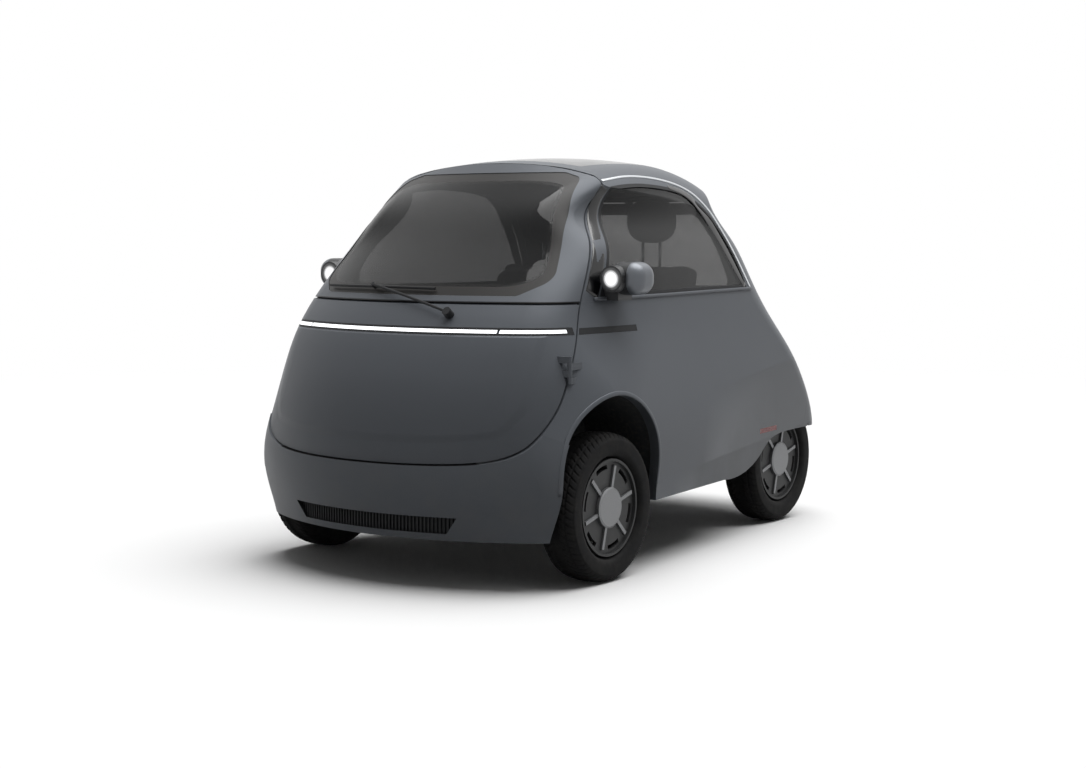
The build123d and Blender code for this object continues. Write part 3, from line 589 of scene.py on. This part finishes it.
def tyre(name, half, axle_y, side):
    """The profile carried once round the axle, less the tread's depth."""
    across, up = cross_section()
    turn = np.linspace(0, 2 * math.pi, ROUND_STEPS, endpoint=False)[:, None]
    crown = (up > HIGH * 0.55)[None, :]
    depth = TREAD_DEEP * tread_depth(across[None, :], turn) * crown
    dome = CROWN_DOME * (across[None, :] / WIDE) ** 2
    radius = TYRE_R - HIGH + up[None, :] - depth - dome * crown - CLEAR
    points = np.stack((side * (half + across[None, :] + 0 * turn),
                       axle_y + radius * np.sin(turn), TYRE_R + radius * np.cos(turn)), -1)
    if side < 0:
        points = points[:, ::-1]
    piece = surface("dressed_tyre_" + name, points, rubber, "wheel_" + name,
                    round_rows=True, round_columns=True)
    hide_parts("tyre_" + name)
    return piece


for name, half, axle_y, side in (("front_left", FRONT_HALF, FRONT_Y, 1),
                                 ("front_right", FRONT_HALF, FRONT_Y, -1),
                                 ("rear_left", REAR_HALF, REAR_Y, 1),
                                 ("rear_right", REAR_HALF, REAR_Y, -1)):
    made = tyre(name, half, axle_y, side)
    print(made.name, "faces", len(made.data.polygons))

# %% [markdown]
# Trim that follows the body is a small profile carried along a drawn line. The
# line is thrown sideways onto the panel, so that the strip lies on it wherever
# the panel goes.

# %% Strips laid on the panels
def smooth_line(knots, count):
    """A Catmull-Rom curve: through the knots, each heading along its neighbours."""
    knots = np.array(knots, float)
    padded = np.concatenate((2 * knots[:1] - knots[1:2], knots, 2 * knots[-1:] - knots[-2:-1]))
    along = np.linspace(0, len(knots) - 1 - 1e-9, count)
    first, share = along.astype(int), (along % 1)[:, None]
    a, b, c, d = (padded[first + step] for step in range(4))
    return 0.5 * (2 * b + (c - a) * share + (2 * a - 5 * b + 4 * c - d) * share ** 2
                  + (3 * b - a - 3 * c + d) * share ** 3)


def thrown(line, side, *names):
    """Points (y, z) of a line thrown along x onto panels: their places and normals."""
    places, normals = [], []
    for y, z in line.tolist():
        best = None
        for name in names:
            hit, place, normal, _ = nodes[name].ray_cast((side * 1.5, y, z), (-side, 0, 0))
            if hit and (best is None or abs(place.x) > abs(best[0].x)):
                best = place.copy(), normal.copy()
        if best:
            places.append(best[0])
            normals.append(best[1])
    return np.array(places), np.array(normals)


def strip(name, places, normals, profile, finish):
    """Carries profile points (aside, out) along the places, closed at both ends.

    Aside runs square to the line within the panel, and out runs along the normal,
    which is averaged over its neighbours so that the strip doesn't twist.
    """
    for _ in range(6):
        inner = (normals[:-2] + normals[1:-1] + normals[2:]) / 3
        normals = np.concatenate((normals[:1], inner, normals[-1:]))
        normals /= np.linalg.norm(normals, axis=1, keepdims=True)
        middle = (places[:-2] + 2 * places[1:-1] + places[2:]) / 4
        places = np.concatenate((places[:1], middle, places[-1:]))
    tangent = np.gradient(places, axis=0)
    aside = np.cross(normals, tangent)
    aside /= np.linalg.norm(aside, axis=1, keepdims=True)
    profile = np.asarray(profile)
    if profile.ndim == 2:
        profile = np.broadcast_to(profile, (len(places), *profile.shape))
    points = (places[:, None] + profile[..., :1] * aside[:, None]
              + profile[..., 1:] * normals[:, None])
    ends = points.mean(axis=1, keepdims=True) + 0 * points
    points = np.concatenate((ends[:1], points, ends[-1:]))
    return tidy(surface(name, points, finish, "body", round_columns=True))


def tidy(piece):
    """Merges the points that meet at a closed end, and turns the faces outwards."""
    work = bmesh.new()
    work.from_mesh(piece.data)
    bmesh.ops.remove_doubles(work, verts=work.verts, dist=1e-6)
    bmesh.ops.recalc_face_normals(work, faces=work.faces)
    work.to_mesh(piece.data)
    work.free()
    return piece


def rounded_bar(half_width, low, high, count=12):
    """A flat bar's profile with round edges: an oval drawn out towards a box."""
    turn = np.linspace(0, 2 * math.pi, count, endpoint=False)
    across = half_width * np.sign(np.cos(turn)) * np.abs(np.cos(turn)) ** 0.6
    up = (low + high) / 2 + (high - low) / 2 * np.sign(np.sin(turn)) * np.abs(np.sin(turn)) ** 0.6
    return np.stack((across, up), -1)


def tapered_bar(half_widths, low, high):
    """A rounded bar's profile at each of these half widths."""
    stretch = np.stack((half_widths, 1 + 0 * half_widths), -1)[:, None]
    return rounded_bar(1.0, low, high)[None] * stretch


# %% [markdown]
# Over each side window runs a bright strip, from the door's edge down the rear
# arc to the belt. Inside the arc the glass has a black band, which is widest
# half way down, another band lies on the front pillar, and along the belt lies
# a ledge in body colour. All four lines are points (y, z).

# %% Side window trim
RAIL = [(-0.446, 1.400), (-0.266, 1.419), (-0.076, 1.416), (0.11, 1.392), (0.232, 1.345),
        (0.345, 1.24), (0.43, 1.12), (0.508, 0.992)]
ARC = [(0.0, 1.386), (0.11, 1.366), (0.198, 1.318), (0.306, 1.207), (0.390, 1.095), (0.463, 1.0)]
PILLAR = [(-0.706, 0.998), (-0.592, 1.17), (-0.488, 1.318), (-0.450, 1.376)]
LEDGE = [(-0.70, 0.983), (-0.3, 0.985), (0.1, 0.987), (0.514, 0.988)]
for side, name in ((1, "left"), (-1, "right")):
    places, normals = thrown(smooth_line(RAIL, 90), side, "roof_panel")
    strip("window_rail_" + name, places, normals, rounded_bar(0.005, -0.002, 0.004),
          trim)
    places, normals = thrown(smooth_line(ARC, 60), side, "roof_panel", "window_frames",
                             "side_glass_" + name)
    swell = 0.25 + 0.75 * np.sin(np.linspace(0.1, 0.8, len(places)) * math.pi)
    strip("arc_band_" + name, places, normals, tapered_bar(0.022 * swell, -0.003, 0.0015),
          gloss)
    places, normals = thrown(smooth_line(PILLAR, 40), side, "roof_panel")
    narrowing = np.linspace(0.033, 0.017, len(places))
    strip("pillar_trim_" + name, places, normals, tapered_bar(narrowing, -0.003, 0.001),
          gloss)
    places, normals = thrown(smooth_line(LEDGE, 60), side, "roof_panel")
    strip("belt_ledge_" + name, places, normals, rounded_bar(0.006, -0.003, 0.007),
          paint)

# %% [markdown]
# Each front wheel arch ends in a rolled lip, which is a low half-round bead
# just outside the cut edge: up the straight front, over the round, and down.

# %% Wheel arch lips
ARCH_Y, ARCH_Z, LIP_R = -0.720, 0.371, 0.293
sweep = np.linspace(-0.12, math.pi + 0.25, 70)
arch_line = np.stack((ARCH_Y - LIP_R * np.cos(sweep), ARCH_Z + LIP_R * np.sin(sweep)), -1)
for side, name in ((1, "left"), (-1, "right")):
    places, normals = thrown(arch_line, side, "body_side_" + name, "front_bumper")
    strip("arch_lip_" + name, places, normals, rounded_bar(0.008, -0.004, 0.003),
          paint)

# %% [markdown]
# Seat pads are foam in a sewn cover. Each starts as its solid, a little smaller,
# and is blown up as cloth with air inside, which pulls its sides in between the
# corners. The seams are pressed in afterwards, because the remesh would lose them.

# %% Sewn pads
VOXEL = 0.007
PUFF = 0.014
PRESSURE, AIR_STEPS = 4, 20
# A seam is (axis, place): the plane where that coordinate has that value.
CHANNELS = [(0, place) for place in (0.0, -0.36, 0.36, -0.12, 0.12)]
CROSS_SEAM = (2, 0.78)


def settle(mesh_object, cap):
    """Blows a closed mesh up as cloth, step by step; no point moves over cap."""
    still = np.empty(len(mesh_object.data.vertices) * 3)
    mesh_object.data.vertices.foreach_get("co", still)
    soft = mesh_object.modifiers.new("air", "CLOTH")
    soft.settings.quality = 4
    soft.settings.use_pressure = True
    soft.settings.uniform_pressure_force = PRESSURE
    soft.settings.effector_weights.gravity = 0
    for frame_number in range(1, AIR_STEPS + 1):
        bpy.context.scene.frame_set(frame_number)
    blown = mesh_object.evaluated_get(bpy.context.evaluated_depsgraph_get()).to_mesh()
    moved = np.empty(len(still))
    blown.vertices.foreach_get("co", moved)
    mesh_object.modifiers.clear()
    bpy.context.scene.frame_set(1)
    shift = (moved - still).reshape(-1, 3)
    far = np.linalg.norm(shift, axis=1, keepdims=True)
    shift *= np.minimum(1, cap / np.maximum(far, 1e-9))
    mesh_object.data.vertices.foreach_set("co", (still + shift.ravel()).astype(np.float32))
    mesh_object.data.update()


def press_seams(mesh_object, seams, deep=0.007, wide=0.009):
    """Lowers the surface along its normal by deep * exp(-(distance / wide) ** 2)."""
    count = len(mesh_object.data.vertices)
    place, normal = np.empty(count * 3), np.empty(count * 3)
    mesh_object.data.vertices.foreach_get("co", place)
    mesh_object.data.vertices.foreach_get("normal", normal)
    place, normal = place.reshape(-1, 3), normal.reshape(-1, 3)
    near = np.min([np.abs(place[:, axis] - at) for axis, at in seams], axis=0)
    place = place - normal * (deep * np.exp(-(near / wide) ** 2))[:, None]
    mesh_object.data.vertices.foreach_set("co", place.ravel().astype(np.float32))
    mesh_object.data.update()


def sewn_pad(name, node, seams):
    """A pad in place of a solid: remeshed, smoothed, blown up and seamed."""
    piece = bpy.data.objects.new(name, nodes[node].data.copy())
    bpy.context.scene.collection.objects.link(piece)
    tidy(piece)
    lattice = piece.modifiers.new("grid", "REMESH")
    lattice.mode = "VOXEL"
    lattice.voxel_size = VOXEL
    bpy.context.view_layer.update()
    ready = bpy.data.meshes.new_from_object(
        piece.evaluated_get(bpy.context.evaluated_depsgraph_get()))
    piece.modifiers.clear()
    piece.data = ready
    work = bmesh.new()
    work.from_mesh(ready)
    bmesh.ops.smooth_vert(work, verts=work.verts, factor=0.5, use_axis_x=True, use_axis_y=True,
                          use_axis_z=True)
    work.to_mesh(ready)
    work.free()
    settle(piece, PUFF)
    press_seams(piece, seams)
    piece.data.materials.clear()
    piece.data.materials.append(cloth.material)
    piece.data.shade_smooth()
    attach(piece, "body")
    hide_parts(node)
    print(name, "faces", len(piece.data.polygons))
    return piece


sewn_pad("seat_cushion_pad", "seat_cushion", CHANNELS)
sewn_pad("seat_back_pad", "seat_back", CHANNELS + [CROSS_SEAM])

# %% [markdown]
# Headrests are small crowned pads on two thin posts. The pad is a ball drawn
# out towards a box, with a welt where its two covers meet.

# %% Headrests
REST_X, REST_Y, REST_Z = 0.245, 0.243, 1.258
REST_HALF = (0.108, 0.052, 0.088)
WELT_DEEP, WELT_WIDE = 0.035, 0.004
POST_X, POST_LOW, POST_HIGH = 0.04, 1.04, 1.2


def ball(centre, half, soft_power, rows=40, columns=56):
    """Points centre + half * sign(c) * |c| ** soft_power of each of a ball's cosines."""
    lift = np.linspace(-math.pi / 2, math.pi / 2, rows)[:, None]
    turn = np.linspace(0, 2 * math.pi, columns, endpoint=False)[None, :]
    unit = np.stack((np.cos(lift) * np.cos(turn), np.cos(lift) * np.sin(turn),
                     np.sin(lift) + 0 * turn), -1)
    return centre + np.array(half) * np.sign(unit) * np.abs(unit) ** soft_power


def post(x, y, low, high, radius=0.006):
    """A round rod between two heights, closed at both ends."""
    turn = np.linspace(0, 2 * math.pi, 14, endpoint=False)[None, :]
    height = np.array([low, low, high, high])[:, None]
    reach = radius * np.array([0, 1, 1, 0])[:, None]
    return np.stack((x + reach * np.cos(turn), y + reach * np.sin(turn), height + 0 * turn), -1)


for side, name in ((1, "left"), (-1, "right")):
    centre = np.array((side * REST_X, REST_Y, REST_Z))
    points = ball(centre, REST_HALF, 0.82)
    welt = np.exp(-((points[..., 1:2] - REST_Y) / WELT_WIDE) ** 2)
    points = points - (points - centre) * WELT_DEEP * welt
    piece = tidy(surface("headrest_" + name, points, cloth, "body",
                         round_columns=True))
    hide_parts("headrests")
    for end, at in (("inner", REST_X - POST_X), ("outer", REST_X + POST_X)):
        rod = post(side * at, REST_Y, POST_LOW, POST_HIGH)
        rod = tidy(surface(f"headrest_post_{name}_{end}", rod, trim, "body",
                           round_columns=True))
        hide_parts("headrests")

# %% [markdown]
# The stage: a pale floor without an edge, a bright sky and one wide soft lamp
# overhead. The camera, mirrors and glass see the sky white and the floor pale.
# Both shed much less light than that on the car, so its lower half stays dark.

# %% Stage and light
SKY_LIGHT = 0.13
FLOOR_SEEN, FLOOR_LIGHT = (0.78, 0.78, 0.78), (0.12, 0.12, 0.12)
WHITE = (1.0, 1.0, 1.0)
# The floor turns white between these squares of the distance from the car.
WHITE_FROM, WHITE_TO = 20.0, 80.0
FLOOR_HALF = 30.0

sky = bpy.data.worlds.new("sky")
bpy.context.scene.world = sky
sky.use_nodes = True
sky.node_tree.nodes.clear()
sky_end = sky.node_tree.nodes.new("ShaderNodeOutputWorld")


def looked_at(tree):
    """1 for the rays that the camera, a mirror or a glass sends out, 0 for light."""
    rays = [Wire(tree).node("ShaderNodeLightPath", out=name)
            for name in ("Is Camera Ray", "Is Glossy Ray", "Is Transmission Ray")]
    return rays[0].most(rays[1]).most(rays[2])


open_sky = looked_at(sky.node_tree).node(
    "ShaderNodeBackground", None,
    {"Color": WHITE, "Strength": SKY_LIGHT + looked_at(sky.node_tree) * (1 - SKY_LIGHT)})
sky.node_tree.links.new(open_sky.socket, sky_end.inputs[0])

floor_finish = Finish("floor", Roughness=0.9, Specular_IOR_Level=0.1)
seen = looked_at(floor_finish.tree)
floor_finish.set(Base_Color=seen.blend(FLOOR_LIGHT, FLOOR_SEEN))
far = (floor_finish.x.squared() + floor_finish.y.squared()).rise(WHITE_FROM, WHITE_TO)
glow = floor_finish.place.node("ShaderNodeEmission", None, {"Color": WHITE})
mixed = floor_finish.place.node("ShaderNodeMixShader", None, {
    0: seen * far, 1: Wire(floor_finish.tree, floor_finish.shader.outputs[0]), 2: glow})
floor_finish.tree.links.new(mixed.socket, floor_finish.end.inputs[0])
edge = np.array([-FLOOR_HALF, FLOOR_HALF])
floor_points = np.stack(np.broadcast_arrays(edge[None, :], edge[:, None], 0.0), -1)
floor_mesh = bpy.data.meshes.new("floor")
floor_mesh.from_pydata(floor_points.reshape(-1, 3).tolist(), [], [(0, 1, 3, 2)])
floor_mesh.materials.append(floor_finish.material)
floor = bpy.data.objects.new("floor", floor_mesh)
bpy.context.scene.collection.objects.link(floor)

day = bpy.data.lights.new("day", "SUN")
day.energy = 3.9
day.angle = math.radians(60)
day_lamp = bpy.data.objects.new("day", day)
day_lamp.rotation_euler = (math.radians(-15), math.radians(7), 0)
bpy.context.scene.collection.objects.link(day_lamp)
